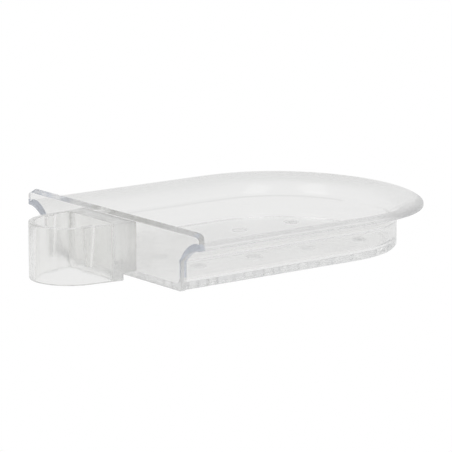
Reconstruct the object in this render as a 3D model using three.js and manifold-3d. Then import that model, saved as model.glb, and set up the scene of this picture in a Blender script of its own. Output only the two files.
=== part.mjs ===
// A clear plastic soap dish that slides on a shower's vertical riser rail.
// Millimetres, +Z up. The origin lies on the rail's axis, level with the dish's underside.
// +X runs from the rail out to the rounded nose of the tray.

import * as THREE from 'three';
import { mergeVertices } from 'three/addons/utils/BufferGeometryUtils.js';
import Module from 'manifold-3d';

const wasm = await Module();
wasm.setup();

// Collar round the rail
const RAIL_DIAMETER = 22;
const RAIL_CLEARANCE = 0.2;
const COLLAR_WALL = 2.2;
const COLLAR_SPREAD = 1.4;
const COLLAR_BELOW_PLATE_TOP = 1.5;
const NECK_LENGTH = 5.7;
const NECK_NOTCH_HEIGHT = 2.8;

// Tapered ribs that grip the rail inside the collar
const RIB_CLEARANCE = 0.1;
const RIB_HEIGHT = 1.7;
const RIB_TOP_WIDTH = 4.2;
const RIB_FOOT_WIDTH = 1.5;
const RIB_FOOT_Z = 6;
const RIB_OFFSET = 1;

// Tray
const TRAY_LENGTH = 129.6;
const STRAIGHT_LENGTH = 76.6;
const RIM_WIDTH = 108.5;
const RIM_HEIGHT = 18.4;
const SIDE_OVERHANG = 10.8;
const NOSE_OVERHANG = 9;
const NOSE_LENGTH_POWER = 2.42;
const NOSE_WIDTH_POWER = 1.91;
const WALL = 2.3;
const FLOOR = 2.3;
const FOOT_RADIUS = 1.8;
const FLOOR_FILLET = 2.4;

// Flared rim with its rolled lip
const FLARE_RISE = 7.6;
const FLARE_OUTER_LEAN = 47;
const FLARE_INNER_LEAN = 58;
const LIP_OUTER_LEAN = 0;
const LIP_INNER_LEAN = 7.5;
const LIP_THICKNESS = 2.25;
const LIP_ROLL_WIDTH = 3.3;
const LIP_ROLL_DROP = 1.2;
const LIP_EDGE_RADIUS = 0.4;

// Drain holes
const DRAIN_DIAMETER = 5.4;
const DRAIN_PITCH = 25.7;
const DRAIN_ROW_SPACING = 20.4;
const DRAIN_ROWS = 3;
const FIRST_DRAIN = 21.6;
const DRAIN_EDGE = 3;

// Back plate
const PLATE_THICKNESS = 2.4;
const PLATE_UPSTAND = 4;
const PLATE_TOP_CORNER = 2.6;
const PLATE_FOOT_CORNER = 1;
const PLATE_EDGE_ROUND = 0.3;
const PLATE_TOP_FALL = 1.3;

// How finely curves are divided
const NOSE_STEPS = 26;
const FLARE_STEPS = 7;
const FILLET_STEPS = 4;
const ROUND_STEPS = 40;
const DRAIN_STEPS = 24;

// Places that follow from the sizes
const railSeat = RAIL_DIAMETER / 2 + RAIL_CLEARANCE;
const chordOuterX = railSeat + COLLAR_WALL;
const plateX = chordOuterX + NECK_LENGTH;
const trayX = plateX + PLATE_THICKNESS;
const plateHeight = RIM_HEIGHT + PLATE_UPSTAND;
const collarHeight = plateHeight - COLLAR_BELOW_PLATE_TOP;
const flareZ = RIM_HEIGHT - FLARE_RISE;
const lipUnderZ = RIM_HEIGHT - LIP_THICKNESS;
const CUT_PAST = 1;

// Solid from a closed geometry, for joining and cutting.
function solidFrom(geometry) {
  const bare = geometry.clone();
  bare.deleteAttribute('normal');
  bare.deleteAttribute('uv');
  const merged = mergeVertices(bare.index ? bare.toNonIndexed() : bare, 1e-4);
  return new wasm.Manifold(new wasm.Mesh({
    numProp: 3,
    vertProperties: new Float32Array(merged.attributes.position.array),
    triVerts: new Uint32Array(merged.index.array),
  }));
}

// Geometry from a finished solid.
function geometryFrom(solid) {
  const mesh = solid.getMesh();
  const geometry = new THREE.BufferGeometry();
  geometry.setAttribute('position', new THREE.BufferAttribute(new Float32Array(mesh.vertProperties), 3));
  geometry.setIndex(new THREE.BufferAttribute(new Uint32Array(mesh.triVerts), 1));
  geometry.computeVertexNormals();
  return geometry;
}

// Closed loft through level rings that all have the same number of points.
function loft(rings) {
  const count = rings[0].points.length;
  const positions = [];
  for (const ring of rings) {
    for (const point of ring.points) {
      positions.push(point.x, point.y, ring.z);
    }
  }
  const faces = [];
  for (let level = 0; level + 1 < rings.length; level += 1) {
    for (let i = 0; i < count; i += 1) {
      const a = level * count + i;
      const b = level * count + (i + 1) % count;
      faces.push(a, b, b + count, a, b + count, a + count);
    }
  }
  const top = (rings.length - 1) * count;
  for (const [a, b, c] of THREE.ShapeUtils.triangulateShape(rings[0].points, [])) {
    faces.push(c, b, a);
  }
  for (const [a, b, c] of THREE.ShapeUtils.triangulateShape(rings.at(-1).points, [])) {
    faces.push(top + a, top + b, top + c);
  }
  const geometry = new THREE.BufferGeometry();
  geometry.setAttribute('position', new THREE.Float32BufferAttribute(positions, 3));
  geometry.setIndex(faces);
  return geometry;
}

// The nose stands out further than the sides do: how far a level's nose lies inside the rim's.
function noseInset(inset) {
  const saved = (SIDE_OVERHANG - NOSE_OVERHANG) * Math.min(1, inset / SIDE_OVERHANG);
  return inset - saved;
}

// Plan outline of the tray, moved in from the rim: straight sides and a nose that is
// a super-ellipse. It closes on a straight line at startX, and runs anticlockwise.
function trayOutline(inset, startX) {
  const half = RIM_WIDTH / 2 - inset;
  const noseStart = trayX + STRAIGHT_LENGTH;
  const noseDepth = TRAY_LENGTH - STRAIGHT_LENGTH - noseInset(inset);
  const side = [];
  for (let step = 0; step <= NOSE_STEPS; step += 1) {
    const angle = (Math.PI / 2) * (step / NOSE_STEPS);
    const along = noseDepth * Math.sin(angle) ** (2 / NOSE_LENGTH_POWER);
    const across = step === NOSE_STEPS ? 0 : half * Math.cos(angle) ** (2 / NOSE_WIDTH_POWER);
    side.push(new THREE.Vector2(noseStart + along, -across));
  }
  const mirrored = side.slice(0, -1).reverse().map((point) => new THREE.Vector2(point.x, -point.y));
  return [new THREE.Vector2(startX, -half), ...side, ...mirrored, new THREE.Vector2(startX, half)];
}

// Quarter round between two directions, as points (x = inset, y = height).
function quarterRound(centreX, centreZ, radiusX, radiusZ, fromAngle, toAngle) {
  const curve = new THREE.EllipseCurve(centreX, centreZ, radiusX, radiusZ, fromAngle, toAngle, toAngle < fromAngle);
  return curve.getPoints(FILLET_STEPS);
}

// One side of the flare: a curve that leaves the wall at one lean and reaches the lip at another.
// Leans are degrees above level, looking outwards, which is towards a smaller inset.
function flareCurve(start, startLean, end, endLean) {
  const rise = Math.tan(THREE.MathUtils.degToRad(startLean));
  const finish = Math.tan(THREE.MathUtils.degToRad(endLean));
  const bendInset = (start.y + rise * start.x - end.y - finish * end.x) / (rise - finish);
  const bend = new THREE.Vector2(bendInset, end.y - finish * (bendInset - end.x));
  return new THREE.QuadraticBezierCurve(start, bend, end).getPoints(FLARE_STEPS);
}

// Outer section of the tray from the foot to the lip's edge, as (inset, height) points.
function outerSection() {
  const footInset = SIDE_OVERHANG + FOOT_RADIUS;
  const edgeZ = lipUnderZ + LIP_EDGE_RADIUS;
  return [
    ...quarterRound(footInset, FOOT_RADIUS, FOOT_RADIUS, FOOT_RADIUS, -Math.PI / 2, -Math.PI),
    ...flareCurve(
      new THREE.Vector2(SIDE_OVERHANG, flareZ),
      FLARE_OUTER_LEAN,
      new THREE.Vector2(LIP_EDGE_RADIUS, lipUnderZ),
      LIP_OUTER_LEAN,
    ),
    new THREE.Vector2(0, edgeZ),
  ];
}

// Rolled top of the lip, from its edge to its crest.
function lipRoll() {
  const dropZ = RIM_HEIGHT - LIP_ROLL_DROP;
  return quarterRound(LIP_ROLL_WIDTH, dropZ, LIP_ROLL_WIDTH, LIP_ROLL_DROP, Math.PI, Math.PI / 2);
}

// Inside of the bowl, from the floor's fillet to the lip's crest.
function innerSection() {
  const wallInset = SIDE_OVERHANG + WALL;
  const filletZ = FLOOR + FLOOR_FILLET;
  return [
    ...quarterRound(wallInset + FLOOR_FILLET, filletZ, FLOOR_FILLET, FLOOR_FILLET, -Math.PI / 2, -Math.PI),
    ...flareCurve(
      new THREE.Vector2(wallInset, flareZ),
      FLARE_INNER_LEAN,
      new THREE.Vector2(LIP_ROLL_WIDTH, RIM_HEIGHT),
      LIP_INNER_LEAN,
    ),
    new THREE.Vector2(LIP_ROLL_WIDTH, RIM_HEIGHT + CUT_PAST),
  ];
}

// Centres of the drain holes: rows along the dish, kept a set distance from the floor's edge.
function drainCentres() {
  const margin = SIDE_OVERHANG + WALL + FLOOR_FILLET + DRAIN_EDGE + DRAIN_DIAMETER / 2;
  const half = RIM_WIDTH / 2 - margin;
  const noseDepth = TRAY_LENGTH - STRAIGHT_LENGTH - noseInset(margin);
  const centres = [];
  for (let row = 0; row < DRAIN_ROWS; row += 1) {
    const y = (row - (DRAIN_ROWS - 1) / 2) * DRAIN_ROW_SPACING;
    for (let along = FIRST_DRAIN; along < STRAIGHT_LENGTH + noseDepth; along += DRAIN_PITCH) {
      const past = Math.max(0, along - STRAIGHT_LENGTH) / noseDepth;
      const reach = past ** NOSE_LENGTH_POWER + (Math.abs(y) / half) ** NOSE_WIDTH_POWER;
      if (reach < 1) {
        centres.push(new THREE.Vector2(trayX + along, y));
      }
    }
  }
  return centres;
}

// Bowl with its floor, walls and flared rim. Its rail end is open and the back plate closes it.
function trayGeometry() {
  const outside = [...outerSection(), ...lipRoll()];
  const body = loft(outside.map((p) => ({ z: p.y, points: trayOutline(p.x, trayX) })));
  const hollow = loft(innerSection().map((p) => ({ z: p.y, points: trayOutline(p.x, trayX - CUT_PAST) })));
  let tray = solidFrom(body).subtract(solidFrom(hollow));
  for (const centre of drainCentres()) {
    const drain = new THREE.CylinderGeometry(
      DRAIN_DIAMETER / 2,
      DRAIN_DIAMETER / 2,
      FLOOR + 2 * CUT_PAST,
      DRAIN_STEPS,
    );
    drain.rotateX(Math.PI / 2);
    drain.translate(centre.x, centre.y, FLOOR / 2);
    tray = tray.subtract(solidFrom(drain));
  }
  return geometryFrom(tray);
}

// Slopes the plate's top: the full fall at the face towards the rail, none at the tray's,
// and less and less of it down the ears' corners.
function slopePlateTop(plate) {
  const cornerZ = plateHeight - PLATE_TOP_CORNER;
  const position = plate.attributes.position;
  for (let i = 0; i < position.count; i += 1) {
    const z = position.getZ(i);
    const upEar = Math.max(0, z - cornerZ) / PLATE_TOP_CORNER;
    const toRail = (trayX - position.getX(i)) / PLATE_THICKNESS;
    position.setZ(i, z - PLATE_TOP_FALL * upEar * toRail);
  }
}

// Plate across the rail end: it follows the tray's section and stands above the rim with two rounded ears.
function plateGeometry() {
  const half = RIM_WIDTH / 2;
  const footInset = SIDE_OVERHANG + PLATE_FOOT_CORNER;
  const foot = quarterRound(
    footInset, PLATE_FOOT_CORNER, PLATE_FOOT_CORNER, PLATE_FOOT_CORNER, -Math.PI / 2, -Math.PI,
  );
  const flare = outerSection().slice(FILLET_STEPS + 1);
  const corner = quarterRound(
    PLATE_TOP_CORNER, plateHeight - PLATE_TOP_CORNER, PLATE_TOP_CORNER, PLATE_TOP_CORNER, Math.PI, Math.PI / 2,
  );
  const right = [...foot, ...flare, ...corner].map((p) => new THREE.Vector2(half - p.x, p.y));
  const left = right.map((p) => new THREE.Vector2(-p.x, p.y)).reverse();
  const plate = new THREE.ExtrudeGeometry(new THREE.Shape([...right, ...left]), {
    depth: PLATE_THICKNESS - 2 * PLATE_EDGE_ROUND,
    bevelThickness: PLATE_EDGE_ROUND,
    bevelSize: PLATE_EDGE_ROUND,
    bevelOffset: -PLATE_EDGE_ROUND,
    bevelSegments: 2,
  });
  plate.applyMatrix4(new THREE.Matrix4().makeBasis(
    new THREE.Vector3(0, 1, 0),
    new THREE.Vector3(0, 0, 1),
    new THREE.Vector3(1, 0, 0),
  ));
  plate.translate(plateX + PLATE_EDGE_ROUND, 0, 0);
  slopePlateTop(plate);
  return geometryFrom(solidFrom(plate));
}

// Points of the collar's round end and of the straight sides that leave it at a tangent:
// the round is centred at centreX, and each side ends at endX, endY from the middle.
function collarPlan(centreX, radius, endX, endY) {
  const distance = Math.hypot(endX - centreX, endY);
  const tangent = Math.atan2(endY, endX - centreX) + Math.acos(radius / distance);
  const round = new THREE.EllipseCurve(centreX, 0, radius, radius, tangent, 2 * Math.PI - tangent);
  return [new THREE.Vector2(endX, endY), ...round.getPoints(ROUND_STEPS), new THREE.Vector2(endX, -endY)];
}

// One grip rib: a wedge, wide at the top, on the inside of the collar's wall.
function ribGeometry(side, tip, root) {
  const wedge = new THREE.Shape([
    new THREE.Vector2(-RIB_FOOT_WIDTH / 2, RIB_FOOT_Z),
    new THREE.Vector2(RIB_FOOT_WIDTH / 2, RIB_FOOT_Z),
    new THREE.Vector2(RIB_TOP_WIDTH / 2, collarHeight),
    new THREE.Vector2(-RIB_TOP_WIDTH / 2, collarHeight),
  ]);
  const rib = new THREE.ExtrudeGeometry(wedge, { depth: root - tip, bevelEnabled: false });
  rib.rotateX(Math.PI / 2);
  rib.translate(RIB_OFFSET, side > 0 ? root : -tip, 0);
  return rib;
}

// Sleeve round the rail: a round end, spreading sides, a flat wall facing the dish
// and a solid neck that carries on to the back plate, notched underneath.
function collarGeometry() {
  const ribTip = RAIL_DIAMETER / 2 + RIB_CLEARANCE;
  const innerRadius = ribTip + RIB_HEIGHT;
  const centreX = innerRadius - railSeat;
  const innerEndY = innerRadius + COLLAR_SPREAD;
  const outerEndY = innerEndY + COLLAR_WALL;
  const outer = collarPlan(centreX, innerRadius + COLLAR_WALL, chordOuterX, outerEndY);
  const plan = new THREE.Shape([
    new THREE.Vector2(plateX, outerEndY),
    ...outer,
    new THREE.Vector2(plateX, -outerEndY),
  ]);
  plan.holes.push(new THREE.Path(collarPlan(centreX, innerRadius, railSeat, innerEndY)));
  const sleeve = new THREE.ExtrudeGeometry(plan, { depth: collarHeight, bevelEnabled: false });
  const notch = new THREE.BoxGeometry(2 * NECK_LENGTH, 2 * (outerEndY + CUT_PAST), 2 * NECK_NOTCH_HEIGHT);
  notch.translate(chordOuterX + NECK_LENGTH, 0, 0);
  let collar = solidFrom(sleeve).subtract(solidFrom(notch));
  for (const side of [1, -1]) {
    collar = collar.add(solidFrom(ribGeometry(side, ribTip, innerRadius + COLLAR_WALL / 2)));
  }
  return geometryFrom(collar);
}

// Clear plastic: nearly white, glossy, seen through.
function clearPlastic(colour) {
  return new THREE.MeshStandardMaterial({
    color: colour,
    roughness: 0.06,
    metalness: 0,
    transparent: true,
    opacity: 0.4,
  });
}

function piece(name, geometry, colour) {
  const mesh = new THREE.Mesh(geometry, clearPlastic(colour));
  mesh.name = name;
  return mesh;
}

const dish = new THREE.Group();
dish.add(piece('tray', trayGeometry(), 0xe6eaee));
dish.add(piece('back_plate', plateGeometry(), 0xe2e8ee));
dish.add(piece('rail_collar', collarGeometry(), 0xe4e4de));

export default dish;
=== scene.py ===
# %% [markdown]
# # A clear soap dish for a shower rail
# The dish is a shallow tray of clear plastic. A plate closes its rail end, and a collar behind
# the plate slides on the rail. Clear plastic shows every edge twice, so the shapes carry the look.
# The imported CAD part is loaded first. It is faceted, and facets show at once in clear plastic,
# so each solid is drawn again here as a smooth surface in the same place.

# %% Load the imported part
import math

import bmesh
import bpy
import numpy as np
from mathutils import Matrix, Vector


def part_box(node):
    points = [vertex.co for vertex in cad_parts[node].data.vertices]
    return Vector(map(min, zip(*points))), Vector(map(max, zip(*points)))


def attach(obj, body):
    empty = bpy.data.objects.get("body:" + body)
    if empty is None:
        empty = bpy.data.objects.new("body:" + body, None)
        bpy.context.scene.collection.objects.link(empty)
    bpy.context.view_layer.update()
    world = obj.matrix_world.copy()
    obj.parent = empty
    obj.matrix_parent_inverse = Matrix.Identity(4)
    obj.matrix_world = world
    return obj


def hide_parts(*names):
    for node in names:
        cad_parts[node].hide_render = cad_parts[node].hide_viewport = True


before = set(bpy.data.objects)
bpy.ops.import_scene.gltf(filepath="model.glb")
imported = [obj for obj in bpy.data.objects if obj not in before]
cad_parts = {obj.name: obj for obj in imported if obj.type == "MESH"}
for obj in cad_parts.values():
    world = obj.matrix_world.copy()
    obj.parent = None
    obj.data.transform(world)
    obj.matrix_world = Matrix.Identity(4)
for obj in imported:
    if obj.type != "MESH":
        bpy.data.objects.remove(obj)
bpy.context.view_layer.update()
MM = 0.001

# %% [markdown]
# ## Surfaces from grids
# Each shape below is a grid of points that a formula gives, row by row. A piece is several such
# grids that share their edges. They could be joined by hand in edit mode, but welding points
# that lie in the same place does it exactly, and the result is one closed skin. Sizes are in
# millimetres, and become metres when the mesh is made.

# %% The quads of a grid
def grid_quads(rows, columns, closed):
    """Point numbers of each quad: a point, the next one in its row, and the same two a row on."""
    across = np.arange(columns if closed else columns - 1)
    row = np.arange(rows - 1)[:, None] * columns
    first = row + across
    second = row + (across + 1) % columns
    return np.stack([first, second, second + columns, first + columns], axis=-1).reshape(-1, 4)


open_quads, closed_quads = (len(grid_quads(3, 4, closed)) for closed in (False, True))
print("a grid of 3 by 4 points has", open_quads, "quads, or", closed_quads, "if its rows close")

# %% One piece from several grids
WELD_MM = 0.001
CREASE_DEGREES = 32
CUBIC_CM = 1e-6


def piece_from(name, patches):
    """One closed piece from grids of points in millimetres. With each grid comes a word on
    whether its rows close."""
    points, quads, start = [], [], 0
    for grid, closed in patches:
        rows, columns = grid.shape[:2]
        points.append(grid.reshape(-1, 3))
        quads.append(grid_quads(rows, columns, closed) + start)
        start += rows * columns
    mesh = bpy.data.meshes.new(name)
    mesh.from_pydata((np.concatenate(points) * MM).tolist(), [], np.concatenate(quads).tolist())
    shell = bmesh.new()
    shell.from_mesh(mesh)
    bmesh.ops.remove_doubles(shell, verts=shell.verts, dist=WELD_MM * MM)
    bmesh.ops.recalc_face_normals(shell, faces=shell.faces)
    volume = shell.calc_volume(signed=True)
    shell.to_mesh(mesh)
    shell.free()
    mesh.shade_smooth()
    mesh.set_sharp_from_angle(angle=math.radians(CREASE_DEGREES))
    edge_of_corner = np.zeros(len(mesh.loops), int)
    mesh.loops.foreach_get("edge_index", edge_of_corner)
    open_edges = int((np.bincount(edge_of_corner, minlength=len(mesh.edges)) != 2).sum())
    piece = bpy.data.objects.new(name, mesh)
    bpy.context.scene.collection.objects.link(piece)
    print(name, "has", len(mesh.polygons), "faces,", open_edges, "open edges and",
          round(volume / CUBIC_CM, 2), "cm3")
    return piece


print("points within", WELD_MM, "mm are welded, edges over", CREASE_DEGREES, "degrees stay sharp")

# %% [markdown]
# ## The tray's section
# Cut across, the wall starts in a rounded foot, stands upright, leans out into a flare and ends
# in a rolled lip. Inside, a fine bead marks the root of the flare. It dies out into a rounder
# corner round the -Y half of the nose. The wall could be a bevelled extrusion, but the lip and
# the flare have different curves outside and inside. So the section is two lines of points with
# as many points each: one from the underside up to the lip's crest, one from the floor up to the
# same crest. A point is an inset from the rim's edge and a height.

# %% Lines that make up the section
UPRIGHT_SHARES = np.array([0.05, 0.35, 0.65, 0.95, 1.0])
EASE_REACH = 1.6
EASE_STEPS = 4


def arc(centre, radii, start, stop, steps):
    """Part of an ellipse: the centre plus each radius times the cosine or sine of an angle that
    turns from start to stop, in degrees."""
    angle = np.radians(np.linspace(start, stop, steps + 1))
    x = centre[0] + radii[0] * np.cos(angle)
    y = centre[1] + radii[1] * np.sin(angle)
    return np.stack([x, y], axis=1)


def upright(inset, low, high):
    """A straight line in height, with points close to its ends that keep its shading flat."""
    heights = low + (high - low) * UPRIGHT_SHARES
    return np.stack([np.full(heights.shape, inset), heights], axis=1)


def quadratic(first, middle, last, steps):
    """A curve that leaves first towards middle and reaches last from there: a blend of the three
    by squares and products of a share and what is left of it."""
    t = np.linspace(0, 1, steps + 1)[:, None]
    return (1 - t) ** 2 * first + 2 * t * (1 - t) * middle + t ** 2 * last


def flare(start, start_lean, finish, finish_lean, steps, ease, bead):
    """A quadratic curve whose middle point is where the two leans meet. Its first corner is eased
    over a few steps of the curve, more for a larger ease. To stand into the bowl by a bead, the
    corner point moves twice as far, because the curve takes half of its move."""
    rise, level = np.tan(np.radians([start_lean, finish_lean]))
    bend = (start[1] + rise * start[0] - finish[1] - level * finish[0]) / (rise - level)
    middle = np.array([bend, finish[1] - level * (bend - finish[0])])
    curve = quadratic(np.array(start), middle, np.array(finish), steps)
    below = np.array([start[0], start[1] - ease])
    corner = np.array([start[0] + 2 * bead, start[1]])
    after = max(1, round(ease * EASE_REACH))
    eased = quadratic(below, corner, curve[after], EASE_STEPS + after - 1)
    return np.concatenate([eased, curve[after + 1:]])


print("an upright of 10 mm has points at", upright(0.0, 0.0, 10.0)[:, 1].round(1).tolist(), "mm")

# %% The section of the wall, outside and inside
RIM_HEIGHT = 18.4
SIDE_OVERHANG = 10.8
WALL = 2.3
FLOOR = 2.3
FOOT_RADIUS = 1.8
FLOOR_FILLET = 2.4
FLARE_RISE = 7.6
FLARE_LEANS = (47, 58)
LIP_LEANS = (0, 7.5)
LIP_THICKNESS = 2.25
LIP_ROLL = (3.3, 1.2)
LIP_EDGE = 0.4
EASE = 0.8
NOSE_EASE = 2.4
BEAD = 0.4
FOOT_STEPS = 8
FLARE_STEPS = 20
LIP_EDGE_STEPS = 4
LIP_ROLL_STEPS = 14
INNER_FLARE_STEPS = FLARE_STEPS + LIP_EDGE_STEPS + LIP_ROLL_STEPS + 1

flare_z = RIM_HEIGHT - FLARE_RISE
lip_under_z = RIM_HEIGHT - LIP_THICKNESS
underside_inset = SIDE_OVERHANG + FOOT_RADIUS
floor_inset = SIDE_OVERHANG + WALL + FLOOR_FILLET
crest = (LIP_ROLL[0], RIM_HEIGHT)

outer_section = np.concatenate([
    arc((underside_inset, FOOT_RADIUS), (FOOT_RADIUS, FOOT_RADIUS), 270, 180, FOOT_STEPS),
    upright(SIDE_OVERHANG, FOOT_RADIUS, flare_z - EASE)[:-1],
    flare((SIDE_OVERHANG, flare_z), FLARE_LEANS[0],
          (LIP_EDGE, lip_under_z), LIP_LEANS[0], FLARE_STEPS, EASE, 0),
    arc((LIP_EDGE, lip_under_z + LIP_EDGE), (LIP_EDGE, LIP_EDGE), 270, 180, LIP_EDGE_STEPS)[1:],
    arc((LIP_ROLL[0], RIM_HEIGHT - LIP_ROLL[1]), LIP_ROLL, 180, 90, LIP_ROLL_STEPS),
])


def inner_line(ease, bead):
    """The section inside: the floor's fillet, an upright and a flare with its root eased."""
    fillet_top = FLOOR + FLOOR_FILLET
    return np.concatenate([
        arc((floor_inset, fillet_top), (FLOOR_FILLET, FLOOR_FILLET), 270, 180, FOOT_STEPS),
        upright(SIDE_OVERHANG + WALL, fillet_top, flare_z - ease)[:-1],
        flare((SIDE_OVERHANG + WALL, flare_z), FLARE_LEANS[1],
              crest, LIP_LEANS[1], INNER_FLARE_STEPS, ease, bead),
    ])


plain_section, beaded_section = inner_line(NOSE_EASE, 0), inner_line(EASE, BEAD)
print("section points:", len(outer_section), "outside,", len(plain_section), "inside")

# %% [markdown]
# ## The tray's outline
# From above, the tray has straight sides and a nose that is fuller than an ellipse. A spline
# through a few points would do, but a super-ellipse has two powers that say how full the nose
# is along and across, and it can be moved in from the rim by any inset. Carrying the section
# along the outline is then one formula: the point at an inset and a place along the outline.

# %% The outline, moved in from the rim
TRAY_LENGTH = 129.6
STRAIGHT_LENGTH = 76.6
RIM_WIDTH = 108.5
NOSE_OVERHANG = 9.0
NOSE_POWERS = (2.42, 1.91)
DRAIN_COLUMNS = 4
DRAIN_ROWS = 3
TILE_STEPS = 16
SIDE_STEPS = 40
NOSE_STEPS = (2 * DRAIN_COLUMNS + DRAIN_ROWS) * TILE_STEPS - 2 * SIDE_STEPS
tray_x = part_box("tray")[0].x / MM


def outline(inset):
    """Plan points at each inset: straight sides, and a nose whose depth and half width are each
    multiplied by a power of the sine or cosine of an angle that turns from side to side."""
    inset = np.asarray(inset, float)[..., None]
    half = RIM_WIDTH / 2 - inset
    saved = (SIDE_OVERHANG - NOSE_OVERHANG) * np.minimum(1, inset / SIDE_OVERHANG)
    depth = TRAY_LENGTH - STRAIGHT_LENGTH - inset + saved
    turn = np.linspace(0, np.pi, NOSE_STEPS + 1)
    forward = np.abs(np.sin(turn)) ** (2 / NOSE_POWERS[0])
    sideways = np.sign(np.cos(turn)) * np.abs(np.cos(turn)) ** (2 / NOSE_POWERS[1])
    along = np.linspace(0, STRAIGHT_LENGTH, SIDE_STEPS + 1)[:-1]
    ones, side = np.ones_like(half), half * np.ones(SIDE_STEPS)
    nose = STRAIGHT_LENGTH + depth * forward
    x = np.concatenate([ones * along, nose, ones * along[::-1]], axis=-1)
    y = np.concatenate([-side, -half * sideways, side], axis=-1)
    return np.stack([tray_x + x, y], axis=-1)


print("outline at the rim:", outline(0.0).shape[0], "points, reaching x",
      round(float(outline(0.0)[:, 0].max()), 2), "mm")

# %% The section carried along the outline
BEAD_TURNS = (0, 60, 84, 110)
BEAD_SHARES = (1, 0, 0, 1)


def at_height(plan, z):
    """Plan points given a height, which may be one number or one for each row."""
    height = np.broadcast_to(np.asarray(z, float), plan.shape[:-1])
    return np.concatenate([plan, height[..., None]], axis=-1)


def wall(section):
    """The section carried along the outline: a row of points for each point of the section."""
    return at_height(outline(section[:, 0]), section[:, 1:])


nose_turn = np.linspace(0, 180, NOSE_STEPS + 1)
bead_turn = np.concatenate([np.zeros(SIDE_STEPS), nose_turn, np.full(SIDE_STEPS, 180)])
bead_share = np.interp(bead_turn, BEAD_TURNS, BEAD_SHARES)[:, None]
outside = wall(outer_section)
inside = wall(plain_section) * (1 - bead_share) + wall(beaded_section) * bead_share
print("wall grids:", outside.shape[:2], inside.shape[:2])

# %% [markdown]
# ## The floor with its drain holes
# Holes could be cut with a Boolean, but its cuts leave long thin faces round each hole. Here
# the floor is laid in tiles, one for each hole. On a tile, points slide from the hole's rim
# straight out to the tile's edge. A ring of quads joins the block of tiles to the wall's fillet,
# and a turned profile with eased edges lines each hole.

# %% Tiles round the drain holes
DRAIN_PITCH = 25.7
DRAIN_ROW_SPACING = 20.4
FIRST_DRAIN = 21.6
TILE_MARGINS = ((8.0, 5.2), (5.2, 5.2))

drain_x = tray_x + FIRST_DRAIN + DRAIN_PITCH * np.arange(DRAIN_COLUMNS)
drain_y = DRAIN_ROW_SPACING * (np.arange(DRAIN_ROWS) - (DRAIN_ROWS - 1) / 2)


def tile_lines(centres, before, after):
    """Lines between tiles: midway between holes, and a margin outside the first and the last."""
    between = (centres[1:] + centres[:-1]) / 2
    return np.concatenate([[centres[0] - before], between, [centres[-1] + after]])


def rectangle_points(xs, ys):
    """Points once round a rectangle from its first corner, each side taking the places given."""
    return np.concatenate([
        np.stack([xs[:-1], np.full(len(xs) - 1, ys[0])], axis=1),
        np.stack([np.full(len(ys) - 1, xs[-1]), ys[:-1]], axis=1),
        np.stack([xs[:0:-1], np.full(len(xs) - 1, ys[-1])], axis=1),
        np.stack([np.full(len(ys) - 1, xs[0]), ys[:0:-1]], axis=1),
    ])


def divided(lines):
    """Each gap between lines, divided into the same number of steps."""
    places = np.arange((len(lines) - 1) * TILE_STEPS + 1) / TILE_STEPS
    return np.interp(places, np.arange(len(lines)), lines)


def slide(first, last, shares):
    """Rows of points that go from first to last by the given shares."""
    shares = np.asarray(shares)[:, None, None]
    return first + shares * (last - first)


def end_line(inset):
    """The straight line across the tray's open end, from one side to the other."""
    edge = outline(inset)
    return slide(edge[-1:], edge[:1], np.linspace(0, 1, DRAIN_ROWS * TILE_STEPS + 1))[:, 0]


x_lines, y_lines = (
    tile_lines(centres, *margins) for centres, margins in zip((drain_x, drain_y), TILE_MARGINS))
print("the tiles cover", " by ".join(f"{np.ptp(lines):.1f}" for lines in (x_lines, y_lines)), "mm")

# %% Both faces of the floor, and the holes between them
DRAIN_DIAMETER = 5.4
DRAIN_EASE = 0.35
DRAIN_EASE_STEPS = 4
RING_SHARES = (0, 0.5, 0.97, 1)
TILE_SHARES = (0, 0.08, 1)

eased_radius, ease_radii = DRAIN_DIAMETER / 2 + DRAIN_EASE, (DRAIN_EASE, DRAIN_EASE)
hole_profile = np.concatenate([
    arc((eased_radius, FLOOR - DRAIN_EASE), ease_radii, 90, 180, DRAIN_EASE_STEPS),
    arc((eased_radius, DRAIN_EASE), ease_radii, 180, 270, DRAIN_EASE_STEPS),
])
floor_patches = []
block_edge = rectangle_points(divided(x_lines), divided(y_lines))
for height, inset in ((FLOOR, floor_inset), (0.0, underside_inset)):
    floor_edge = np.concatenate([outline(inset), end_line(inset)[1:-1]])
    floor_patches.append((at_height(slide(block_edge, floor_edge, RING_SHARES), height), True))
for column, x in enumerate(drain_x):
    for row, y in enumerate(drain_y):
        tile_edge = rectangle_points(
            divided(x_lines[column:column + 2]), divided(y_lines[row:row + 2]))
        spoke = tile_edge - (x, y)
        spoke = spoke / np.linalg.norm(spoke, axis=1, keepdims=True)
        lining = (x, y) + hole_profile[:, :1, None] * spoke
        floor_patches.append((at_height(lining, hole_profile[:, 1:]), True))
        for height, rim in ((FLOOR, lining[0]), (0.0, lining[-1])):
            floor_patches.append((at_height(slide(rim, tile_edge, TILE_SHARES), height), True))
print("floor patches:", len(floor_patches), "for", len(drain_x) * len(drain_y), "drain holes")

# %% The tray as one closed skin
ends = [(np.stack([outside[:, side], inside[:, side]]), False) for side in (0, -1)]
floor_end = np.stack([
    at_height(end_line(underside_inset), 0.0), at_height(end_line(floor_inset), FLOOR)])
sheets = [(grid, False) for grid in (outside, inside, floor_end)]
tray = piece_from("tray_shell", [*sheets, *ends, *floor_patches])

# %% [markdown]
# ## The back plate
# The plate is flat, follows the tray's outer section at both sides and has two ears that stand
# above the rim. Its top edge slopes down towards the rail. An extruded curve with a bevel would
# come close, but for the slope. A grid is as short: one line of points goes up the plate's side,
# is mirrored, and its rounded edge is the same line moved in a little at each step. Rungs from
# side to side fill the two faces. Pieces that are joined reach into each other by a hair, because
# an air gap between them would mirror the light that a bonded joint lets through.

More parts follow.
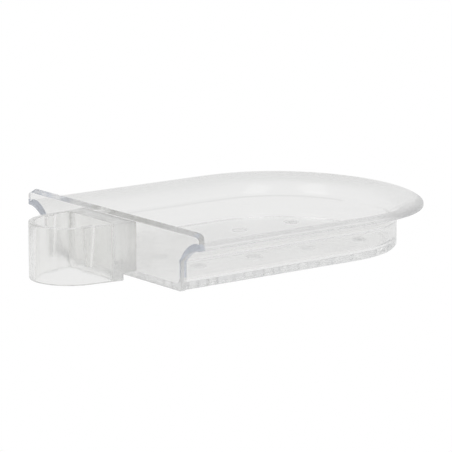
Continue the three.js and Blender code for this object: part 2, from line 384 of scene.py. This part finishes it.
# %% The plate's side line, once round
PLATE_THICKNESS = 2.4
PLATE_UPSTAND = 4.0
PLATE_CORNERS = (1.0, 2.6)
BOND = 0.04
EAR_STEPS = 10
RUNG_SHARES = np.array([0, 0.004, 0.02, 0.5, 0.98, 0.996, 1])

near_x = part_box("back_plate")[0].x / MM
far_x = near_x + PLATE_THICKNESS + BOND
plate_height = RIM_HEIGHT + PLATE_UPSTAND
flare_start = FOOT_STEPS + len(UPRIGHT_SHARES)
flare_points = outer_section[flare_start:-(LIP_ROLL_STEPS + 1)]
foot_r, ear_r = PLATE_CORNERS
side_line = np.concatenate([
    arc((SIDE_OVERHANG + foot_r, foot_r), (foot_r, foot_r), 270, 180, FOOT_STEPS),
    upright(SIDE_OVERHANG, foot_r, flare_points[0, 1])[:-1],
    flare_points,
    upright(0.0, flare_points[-1, 1], plate_height - ear_r)[:-1],
    arc((ear_r, plate_height - ear_r), (ear_r, ear_r), 180, 90, EAR_STEPS),
])
right = np.stack([RIM_WIDTH / 2 - side_line[:, 0], side_line[:, 1]], axis=1)
left = right * (-1, 1)
top_edge, bottom_edge = (
    right[end] + RUNG_SHARES[1:-1, None] * (left[end] - right[end]) for end in (-1, 0))
loop = np.concatenate([right, top_edge, left[::-1], bottom_edge[::-1]])
print("the plate's edge line has", len(loop), "points and is", round(plate_height, 1), "mm tall")

# %% The plate's rows of points
PLATE_ROUND = 0.34
PLATE_TOP_FALL = 1.3
EDGE_STEPS = 5
quarter = np.radians(np.linspace(0, 90, EDGE_STEPS + 1))


def moved_in(line, amount):
    """A closed line moved in by an amount, along the normal of the points on either side."""
    ahead = np.roll(line, -1, axis=0) - np.roll(line, 1, axis=0)
    ahead = ahead / np.linalg.norm(ahead, axis=1, keepdims=True)
    return line + amount * np.stack([-ahead[:, 1], ahead[:, 0]], axis=1)


def plate_points(line, x):
    """Points of the plate at one x. Up the ears' corners they come to lie lower, in step with the
    distance from the far face, so that the top edge slopes."""
    up_ear = np.clip((line[..., 1] - plate_height + ear_r) / ear_r, 0, 1)
    fall = PLATE_TOP_FALL * up_ear * (far_x - x) / (far_x - near_x)
    return np.stack([np.full(fall.shape, x), line[..., 0], line[..., 1] - fall], axis=-1)


def plate_face(line, x):
    """A face of the plate: rungs from side to side, with their ends on the face's edge line."""
    face_right, face_top, face_left, face_bottom = np.split(
        line, np.cumsum([len(right), len(top_edge), len(left)]))
    rungs = slide(face_right, face_left[::-1], RUNG_SHARES)
    rungs[1:-1, -1], rungs[1:-1, 0] = face_top, face_bottom[::-1]
    return plate_points(rungs, x)


def rounded_rows(x, inwards):
    """Rows from the edge of the face at x out to the plate's full outline: a quarter circle."""
    in_by, along_by = PLATE_ROUND * (1 - np.sin(quarter)), PLATE_ROUND * (1 - np.cos(quarter))
    return [plate_points(moved_in(loop, d), x + inwards * s) for d, s in zip(in_by, along_by)]


print("an edge of", PLATE_ROUND, "mm is rounded in", EDGE_STEPS, "steps")

# %% The plate as one closed skin
band = np.stack(rounded_rows(near_x, 1) + rounded_rows(far_x, -1)[::-1])
faces = [(plate_face(moved_in(loop, PLATE_ROUND), x), False) for x in (near_x, far_x)]
plate = piece_from("back_plate_panel", [(band, True), *faces])

# %% [markdown]
# ## The rail collar
# The collar is a sleeve with a round end, spreading sides and a flat wall. From that wall a solid
# neck reaches on to the plate, above a notch, and two wedge ribs inside grip the rail. It could
# be built from blocks joined by Booleans, but their sharp cuts would have to be rounded again.
# Here it is two curtains of points, one outside and one inside, with as many columns each. From
# a given height up, columns step out to make the neck and in to make a rib.

# %% The collar's sides and its round end
RAIL_DIAMETER = 22.0
COLLAR_WALL = 2.2
COLLAR_SPREAD = 1.4
RIB_TIP_GAP = 0.1
RIB_HEIGHT = 1.7
RAIL_GAP = 0.2
ROUND_STEPS = 44

rail_seat = RAIL_DIAMETER / 2 + RAIL_GAP
rib_tip = RAIL_DIAMETER / 2 + RIB_TIP_GAP
bore_radius = rib_tip + RIB_HEIGHT
bore_x = bore_radius - rail_seat
bore_end = np.array([rail_seat, bore_radius + COLLAR_SPREAD])
outer_end = bore_end + COLLAR_WALL


def side_width(x, radius, end):
    """Half width at x: along the straight side as far as its tangent point, then round the end."""
    reach = np.hypot(end[0] - bore_x, end[1])
    tangent = np.arctan2(end[1], end[0] - bore_x) + np.arccos(radius / reach)
    touch = np.array([bore_x + radius * np.cos(tangent), radius * np.sin(tangent)])
    on_side = touch[1] + (end[1] - touch[1]) * (x - touch[0]) / (end[0] - touch[0])
    on_round = np.sqrt(np.maximum(radius ** 2 - (x - bore_x) ** 2, 0))
    return np.where(x > touch[0], on_side, on_round)


def round_end(x, radius):
    """Points from the half width at x to the back of the round end, at even angles."""
    start = np.arccos((x - bore_x) / radius)[..., None]
    angle = start + (np.pi - start) * np.linspace(0, 1, ROUND_STEPS + 1)
    return np.stack([bore_x + radius * np.cos(angle), radius * np.sin(angle)], axis=-1)


print("the bore has a round end of radius", round(bore_radius, 2), "mm and a flat wall at x",
      round(rail_seat, 2), "mm")

# %% Half of the plan, outside and inside
NECK_SHARES = np.linspace(0, 1, 7)
SIDE_SHARES = np.linspace(0, 1, 8)
RIB_WIDTHS = (1.5, 4.2)
RIB_OFFSET = 1.0
RIB_COLUMNS = 3
BORE_FILLET = 2.5
FILLET_STEPS = 6
FLAT_STEPS = 4
BORE_SIDE_STEPS = 4


def stacked(x, y):
    """Columns of plan points from arrays or numbers of x and y."""
    return np.stack(np.broadcast_arrays(x, y), axis=-1).astype(float)


def outer_half(neck):
    """Half of the outside, from the middle of the flat wall along the side and round the back.
    Neck is 1 where the neck stands, and 0 below it."""
    neck_x = outer_end[0] + (near_x + BOND - outer_end[0]) * neck
    radius = bore_radius + COLLAR_WALL
    side_x = outer_end[0] + (RIB_OFFSET - RIB_WIDTHS[1] / 2 - outer_end[0]) * SIDE_SHARES
    side = stacked(side_x, side_width(side_x, radius, outer_end))
    return np.concatenate([
        stacked(neck_x, outer_end[1] * NECK_SHARES),
        side,
        side[-1:].repeat(RIB_COLUMNS, axis=0),
        round_end(side_x[-1], radius)[1:],
    ])


def inner_half(width, rib):
    """Half of the inside, in as many columns: the flat wall, a fillet, the side, the rib and the
    round end. Rib is 1 where the rib stands, of the width given, and 0 below it."""
    near, far = RIB_OFFSET + width / 2, RIB_OFFSET - width / 2
    fillet_y, fillet_x = bore_end[1] - BORE_FILLET, bore_end[0] - BORE_FILLET
    fillet = quadratic(
        np.array([bore_end[0], fillet_y]), bore_end,
        np.array([fillet_x, side_width(fillet_x, bore_radius, bore_end)]), FILLET_STEPS)
    side_x = np.linspace(fillet_x, near, BORE_SIDE_STEPS + 1)[1:]
    wall_near, wall_far = (side_width(x, bore_radius, bore_end) for x in (near, far))
    return np.concatenate([
        stacked(bore_end[0], np.linspace(0, fillet_y, FLAT_STEPS + 1)[:-1]),
        fillet,
        stacked(side_x, side_width(side_x, bore_radius, bore_end)),
        stacked(near, wall_near + (rib_tip - wall_near) * rib)[None],
        stacked(far, wall_far + (rib_tip - wall_far) * rib)[None],
        stacked(far, wall_far)[None],
        round_end(far, bore_radius)[1:],
    ])


def whole(half):
    """A half plan joined to its mirror image, once round."""
    return np.concatenate([half, half[-2:0:-1] * (1, -1)])


print("columns round the collar:", len(whole(outer_half(1.0))), "outside,",
      len(whole(inner_half(RIB_WIDTHS[0], 1.0))), "inside")

# %% The two curtains of points
NECK_NOTCH = 2.8
RIB_FOOT_Z = 6.0
COLLAR_ROUND = 0.35

collar_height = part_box("rail_collar")[1].z / MM
ease_in = COLLAR_ROUND * (1 - np.sin(quarter))
ease_up = COLLAR_ROUND * (1 - np.cos(quarter))


def curtain_rows(step_z):
    """Heights up a curtain with a double row where it steps, how far each is moved in, and the
    step's state, which is 0 below and 1 above."""
    middle = np.array([step_z, step_z, (step_z + collar_height) / 2])
    heights = np.concatenate([ease_up, middle, collar_height - ease_up[::-1]])
    moved = np.concatenate([ease_in, np.zeros(len(middle)), ease_in[::-1]])
    state = np.arange(len(heights)) > len(ease_up)
    return heights, moved, state.astype(float)


def rib_width(z):
    """The rib's width grows evenly from its foot to the collar's top."""
    share = np.clip((z - RIB_FOOT_Z) / (collar_height - RIB_FOOT_Z), 0, 1)
    return RIB_WIDTHS[0] + (RIB_WIDTHS[1] - RIB_WIDTHS[0]) * share


def curtain(plans, facing, heights, moved):
    """Rows of plan points, each moved towards the facing curtain by the row's own amount."""
    across = facing - plans
    across = across / np.linalg.norm(across, axis=-1, keepdims=True)
    return at_height(plans + across * moved[:, None, None], heights[:, None])


out_z, out_moved, out_state = curtain_rows(NECK_NOTCH)
in_z, in_moved, in_state = curtain_rows(RIB_FOOT_Z)
out_plans = np.stack([whole(outer_half(neck)) for neck in out_state])
in_plans = np.stack([whole(inner_half(rib_width(z), rib)) for z, rib in zip(in_z, in_state)])
# The lower rows face the other curtain's foot, and the upper ones its top
faced_row = np.where(np.arange(len(out_z)) < len(out_z) / 2, 0, -1)
out_skin = curtain(out_plans, in_plans[faced_row], out_z, out_moved)
in_skin = curtain(in_plans, out_plans[faced_row], in_z, in_moved)
print("curtains:", out_skin.shape[:2], "outside,", in_skin.shape[:2], "inside")

# %% The collar as one closed skin
collar_patches = [(out_skin, True), (in_skin, True)]
collar_patches += [(np.stack([out_skin[row], in_skin[row]]), True) for row in (0, -1)]
collar = piece_from("rail_collar_sleeve", collar_patches)

# %% [markdown]
# ## Clear plastic
# Moulded clear plastic isn't perfect. Its skin waves a little where it cooled, and handling
# leaves a faint haze. Both follow the surface, so a node group makes them once from noise, and
# each finish sets its own amounts. The colour of a thick edge could be painted on, but it comes
# from the depth of plastic that light has crossed, so it is left to absorption inside the solid.
# Only at the ends of the tray's walls, next to the plate, is a blue-grey shade painted on.

# %% Node group: the moulded skin
WAVE_SCALE = 25.0
HAZE_SCALE = 40.0
HAZE_RANGE = (0.35, 0.75)


def new_group(name, inputs, outputs):
    """An empty shader group with the sockets named, and its nodes for what is given and made."""
    group = bpy.data.node_groups.new(name, "ShaderNodeTree")
    for way, sockets in (("INPUT", inputs), ("OUTPUT", outputs)):
        for socket, kind in sockets.items():
            group.interface.new_socket(socket, in_out=way, socket_type=f"NodeSocket{kind}")
    print(f"group {name} takes {', '.join(inputs)} and gives {', '.join(outputs)}")
    return group, group.nodes.new("NodeGroupInput"), group.nodes.new("NodeGroupOutput")


def moulded_skin():
    """Group with the skin's haze, as roughness, and its waves, as height, both from noise."""
    group, given, made = new_group(
        "moulded_skin", {"Place": "Vector", "Clear": "Float", "Hazy": "Float"},
        {"Roughness": "Float", "Height": "Float"})
    nodes, links = group.nodes, group.links
    waves, haze = nodes.new("ShaderNodeTexNoise"), nodes.new("ShaderNodeTexNoise")
    for noise, scale in ((waves, WAVE_SCALE), (haze, HAZE_SCALE)):
        noise.inputs["Scale"].default_value = scale
        noise.inputs["Detail"].default_value = 0.0
        links.new(given.outputs["Place"], noise.inputs["Vector"])
    spread = nodes.new("ShaderNodeMapRange")
    spread.inputs["From Min"].default_value, spread.inputs["From Max"].default_value = HAZE_RANGE
    links.new(haze.outputs["Fac"], spread.inputs["Value"])
    links.new(given.outputs["Clear"], spread.inputs["To Min"])
    links.new(given.outputs["Hazy"], spread.inputs["To Max"])
    links.new(spread.outputs["Result"], made.inputs["Roughness"])
    links.new(waves.outputs["Fac"], made.inputs["Height"])
    return group


skin = moulded_skin()

# %% [markdown]
# ## Painted shade at the wall ends
# Seen through the plate, the ends of the tray's walls are dark blue-grey. Those end faces could
# have a finish of their own, but they are part of one clear wall. So a mask finds them by place,
# at the tray's open end and above the floor, and turns the colour there to a dark blue-grey. This
# is painted shade, in place of the darkening that light mirrored along the clear wall gives.

# %% Node group: painted shade at the wall ends
def painted_end_shade():
    """Group with a colour that turns to a dark blue-grey painted shade where the tray's walls meet
    the plate.
    """
    group, given, made = new_group(
        "painted_end_shade", {"Place": "Vector", "Clear": "Color", "Shade": "Color"}, {"Colour": "Color"})
    nodes, links = group.nodes, group.links
    parts, blend = nodes.new("ShaderNodeSeparateXYZ"), nodes.new("ShaderNodeMix")
    blend.data_type = "RGBA"
    at_end, above_floor, both = (nodes.new("ShaderNodeMath") for _ in range(3))
    at_end.operation, above_floor.operation, both.operation = "COMPARE", "GREATER_THAN", "MULTIPLY"
    at_end.inputs[1].default_value = tray_x * MM
    at_end.inputs[2].default_value = BOND / 2 * MM
    above_floor.inputs[1].default_value = (FLOOR + FLOOR_FILLET) * MM
    links.new(given.outputs["Place"], parts.inputs["Vector"])
    links.new(parts.outputs["X"], at_end.inputs[0])
    links.new(parts.outputs["Z"], above_floor.inputs[0])
    links.new(at_end.outputs["Value"], both.inputs[0])
    links.new(above_floor.outputs["Value"], both.inputs[1])
    # Where the mask is 1, the colour turns to the blue-grey painted shade
    links.new(both.outputs["Value"], blend.inputs["Factor"])
    links.new(given.outputs["Clear"], blend.inputs["A"])
    links.new(given.outputs["Shade"], blend.inputs["B"])
    links.new(blend.outputs["Result"], made.inputs["Colour"])
    return group


end_shade_group = painted_end_shade()

# %% [markdown]
# ## The handled rim
# The rim is where the dish is held and wiped, so it is a little hazier than the rest. The haze
# could be painted on by hand. A mask by height does it evenly, and leaves out the plate.

# %% Node group: the handled rim
HANDLED_HEIGHTS = (12.0, 16.0)
HANDLED_FROM_END = 1.0


def handled_rim():
    """Group that adds haze to the tray's rim: none below one height and all of it above another."""
    group, given, made = new_group(
        "handled_rim", {"Place": "Vector", "Haze": "Float", "Handled": "Float"},
        {"Roughness": "Float"})
    nodes, links = group.nodes, group.links
    parts, height = nodes.new("ShaderNodeSeparateXYZ"), nodes.new("ShaderNodeMapRange")
    on_tray, added = nodes.new("ShaderNodeMath"), nodes.new("ShaderNodeMath")
    on_tray.operation, added.operation = "GREATER_THAN", "MULTIPLY_ADD"
    on_tray.inputs[1].default_value = (tray_x + HANDLED_FROM_END) * MM
    for socket, z in zip(("From Min", "From Max"), HANDLED_HEIGHTS):
        height.inputs[socket].default_value = z * MM
    links.new(given.outputs["Place"], parts.inputs["Vector"])
    links.new(parts.outputs["X"], on_tray.inputs[0])
    links.new(parts.outputs["Z"], height.inputs["Value"])
    links.new(given.outputs["Handled"], height.inputs["To Max"])
    links.new(on_tray.outputs["Value"], added.inputs[0])
    links.new(height.outputs["Result"], added.inputs[1])
    links.new(given.outputs["Haze"], added.inputs[2])
    links.new(added.outputs["Value"], made.inputs["Roughness"])
    return group


rim_haze = handled_rim()

# %% [markdown]
# ## The two finishes
# The dish and its collar are the same clear plastic, but the collar is a warmer grey and its skin
# has fine upright streaks. One material with masks could hold both. Two materials from one
# function are easier to set, and the groups above give them their haze, waves and the painted
# shade at the wall ends.

# %% Clear plastic, and what the groups add to it
PLASTIC_IOR = 1.49


def placed(material, group, values):
    """A group's node in a material, with its own values, reading the place on the object."""
    nodes, links = material.node_tree.nodes, material.node_tree.links
    node = nodes.new("ShaderNodeGroup")
    node.name, node.node_tree = group.name, group
    for socket, value in values.items():
        node.inputs[socket].default_value = value
    links.new(nodes["Texture Coordinate"].outputs["Object"], node.inputs["Place"])
    return node


def clear_plastic(name, colour, depth_colour, depth_density, haze, wave_mm, grain):
    """Clear plastic: a transmitting shader over a solid that absorbs a little, with the moulded
    skin. Grain multiplies the skin's coordinates, so a larger number draws finer noise that way."""
    material = bpy.data.materials.new(name)
    material.use_nodes = True
    nodes, links = material.node_tree.nodes, material.node_tree.links
    shader, output = nodes["Principled BSDF"], nodes["Material Output"]
    shader.inputs["Base Color"].default_value = (*colour, 1)
    shader.inputs["Transmission Weight"].default_value = 1.0
    shader.inputs["IOR"].default_value = PLASTIC_IOR
    place, stretch, bump = (nodes.new(kind) for kind in (
        "ShaderNodeTexCoord", "ShaderNodeVectorMath", "ShaderNodeBump"))
    depth = nodes.new("ShaderNodeVolumeAbsorption")
    stretch.operation = "MULTIPLY"
    stretch.inputs[1].default_value = grain
    surface = placed(material, skin, {"Clear": haze[0], "Hazy": haze[1]})
    bump.inputs["Distance"].default_value = wave_mm * MM
    depth.inputs["Color"].default_value = (*depth_colour, 1)
    depth.inputs["Density"].default_value = depth_density
    links.new(place.outputs["Object"], stretch.inputs[0])
    links.new(stretch.outputs["Vector"], surface.inputs["Place"])
    links.new(surface.outputs["Roughness"], shader.inputs["Roughness"])
    links.new(surface.outputs["Height"], bump.inputs["Height"])
    links.new(bump.outputs["Normal"], shader.inputs["Normal"])
    links.new(depth.outputs["Volume"], output.inputs["Volume"])
    print(f"{name}: haze {haze[0]} to {haze[1]}, waves {wave_mm} mm, depth {depth_density}")
    return material


def with_handled_rim(material, handled):
    """The finish with haze added on the tray's rim."""
    nodes, links = material.node_tree.nodes, material.node_tree.links
    rim = placed(material, rim_haze, {"Handled": handled})
    links.new(nodes[skin.name].outputs["Roughness"], rim.inputs["Haze"])
    links.new(rim.outputs["Roughness"], nodes["Principled BSDF"].inputs["Roughness"])


def with_painted_end_shade(material, end_shade_tint):
    """The finish with its colour turned to the dark blue-grey painted shade at the ends of the
    tray's walls.
    """
    colour = material.node_tree.nodes["Principled BSDF"].inputs["Base Color"]
    ends = placed(material, end_shade_group, {"Clear": tuple(colour.default_value), "Shade": (*end_shade_tint, 1)})
    material.node_tree.links.new(ends.outputs["Colour"], colour)


dish_finish = clear_plastic(
    "clear_dish_finish", colour=(0.985, 0.985, 0.98),
    depth_colour=(0.66, 0.72, 0.82), depth_density=0.5,
    haze=(0.105, 0.135), wave_mm=0.012, grain=(1, 1, 1))
with_handled_rim(dish_finish, handled=0.06)
# Painted shade: the ends of the tray's walls at the plate are tinted dark blue-grey
with_painted_end_shade(dish_finish, end_shade_tint=(0.64, 0.7, 0.83))
collar_finish = clear_plastic(
    "clear_collar_finish", colour=(0.982, 0.982, 0.975),
    depth_colour=(0.72, 0.72, 0.68), depth_density=3.0,
    haze=(0.1, 0.2), wave_mm=0.03, grain=(25, 25, 1))

# %% Finishes and bodies
for piece, node, finish, slot in (
        (tray, "tray", dish_finish, "clear_plastic"),
        (plate, "back_plate", dish_finish, "clear_plastic"),
        (collar, "rail_collar", collar_finish, "clear_collar_plastic")):
    piece.data.materials.append(finish)
    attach(piece, "root")
    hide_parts(node)
    print(piece.name, "stands for", node, "in", finish.name)

# %% [markdown]
# ## Stage and light
# Clear plastic has no colour of its own to light. What shows is the room, bent and mirrored.
# A lamp over a matt floor would do, but its shade would show through the dish. So a table that
# glows evenly gives the pale ground. It is white to the eye and a little dimmer through the
# plastic. A dimmer room gives the grey edges, and two soft boxes give the bright patches.

# %% The table and the room
TABLE_REACH = 3.0
TABLE_DROP = 0.0004
TABLE_TO_EYE = (1, 1, 1)
TABLE_TO_PLASTIC = (0.858, 0.858, 0.858)
ROOM = (0.775, 0.775, 0.775)

corners = [(-1, -1), (1, -1), (1, 1), (-1, 1)]
table_mesh = bpy.data.meshes.new("table")
table_mesh.from_pydata(
    [(x * TABLE_REACH, y * TABLE_REACH, -TABLE_DROP) for x, y in corners], [], [(0, 1, 2, 3)])
table = bpy.data.objects.new("table", table_mesh)
bpy.context.scene.collection.objects.link(table)
glow = bpy.data.materials.new("white_table")
glow.use_nodes = True
nodes, links = glow.node_tree.nodes, glow.node_tree.links
nodes.remove(nodes["Principled BSDF"])
shine, path, tone = (nodes.new(kind) for kind in (
    "ShaderNodeEmission", "ShaderNodeLightPath", "ShaderNodeMix"))
tone.data_type = "RGBA"
tone.inputs["A"].default_value = (*TABLE_TO_PLASTIC, 1)
tone.inputs["B"].default_value = (*TABLE_TO_EYE, 1)
links.new(path.outputs["Is Camera Ray"], tone.inputs["Factor"])
links.new(tone.outputs["Result"], shine.inputs["Color"])
links.new(shine.outputs["Emission"], nodes["Material Output"].inputs["Surface"])
table.data.materials.append(glow)

world = bpy.data.worlds.new("room")
world.use_nodes = True
world.node_tree.nodes["Background"].inputs["Color"].default_value = (*ROOM, 1)
bpy.context.scene.world = world
print("table tone through the plastic:", TABLE_TO_PLASTIC[0], "and room tone:", ROOM[0])

# %% Soft boxes
SOFT_BOXES = {
    "front_box": ((0.16, -0.40, 0.81), 0.32, 0.3),
    "rail_box": ((-0.36, 0.08, 0.79), 0.32, 0.3),
}
AIM = Vector((0.07, 0.0, 0.01))

for name, (place, size, watts) in SOFT_BOXES.items():
    light = bpy.data.lights.new(name, "AREA")
    light.size = size
    light.energy = watts
    box = bpy.data.objects.new(name, light)
    box.location = place
    box.rotation_euler = (AIM - Vector(place)).to_track_quat("-Z", "Y").to_euler()
    bpy.context.scene.collection.objects.link(box)
    print(name, "stands", round((AIM - Vector(place)).length / MM), "mm from the dish")

# %% [markdown]
# ## The camera
# The dish is seen from low down over the rail end's near corner, with a long lens from about a
# metre away. The camera could be set by eye. Here its place and its lens come from fitting the
# edges of the plate, the rim and the foot. Light in a clear wall is mirrored many times before it
# comes out, so the number of bounces is high.

# %% The camera
EYE = Vector((-0.51340, -0.76598, 0.20909))
TARGET = Vector((0.06960, -0.00351, 0.01088))
LENS_MM = 208.1
SENSOR_MM = 36.0
LIGHT_BOUNCES = 160

camera = bpy.data.objects.new("camera", bpy.data.cameras.new("camera"))
camera.data.sensor_width = SENSOR_MM
camera.data.lens = LENS_MM
camera.location = EYE
camera.rotation_euler = (TARGET - EYE).to_track_quat("-Z", "Y").to_euler()
bpy.context.scene.collection.objects.link(camera)
bpy.context.scene.camera = camera
bpy.context.scene.view_settings.view_transform = "Standard"
for bounces in ("max_bounces", "glossy_bounces", "transmission_bounces"):
    setattr(bpy.context.scene.cycles, bounces, LIGHT_BOUNCES)
print("camera stands", round((EYE - TARGET).length / MM), "mm from the dish")
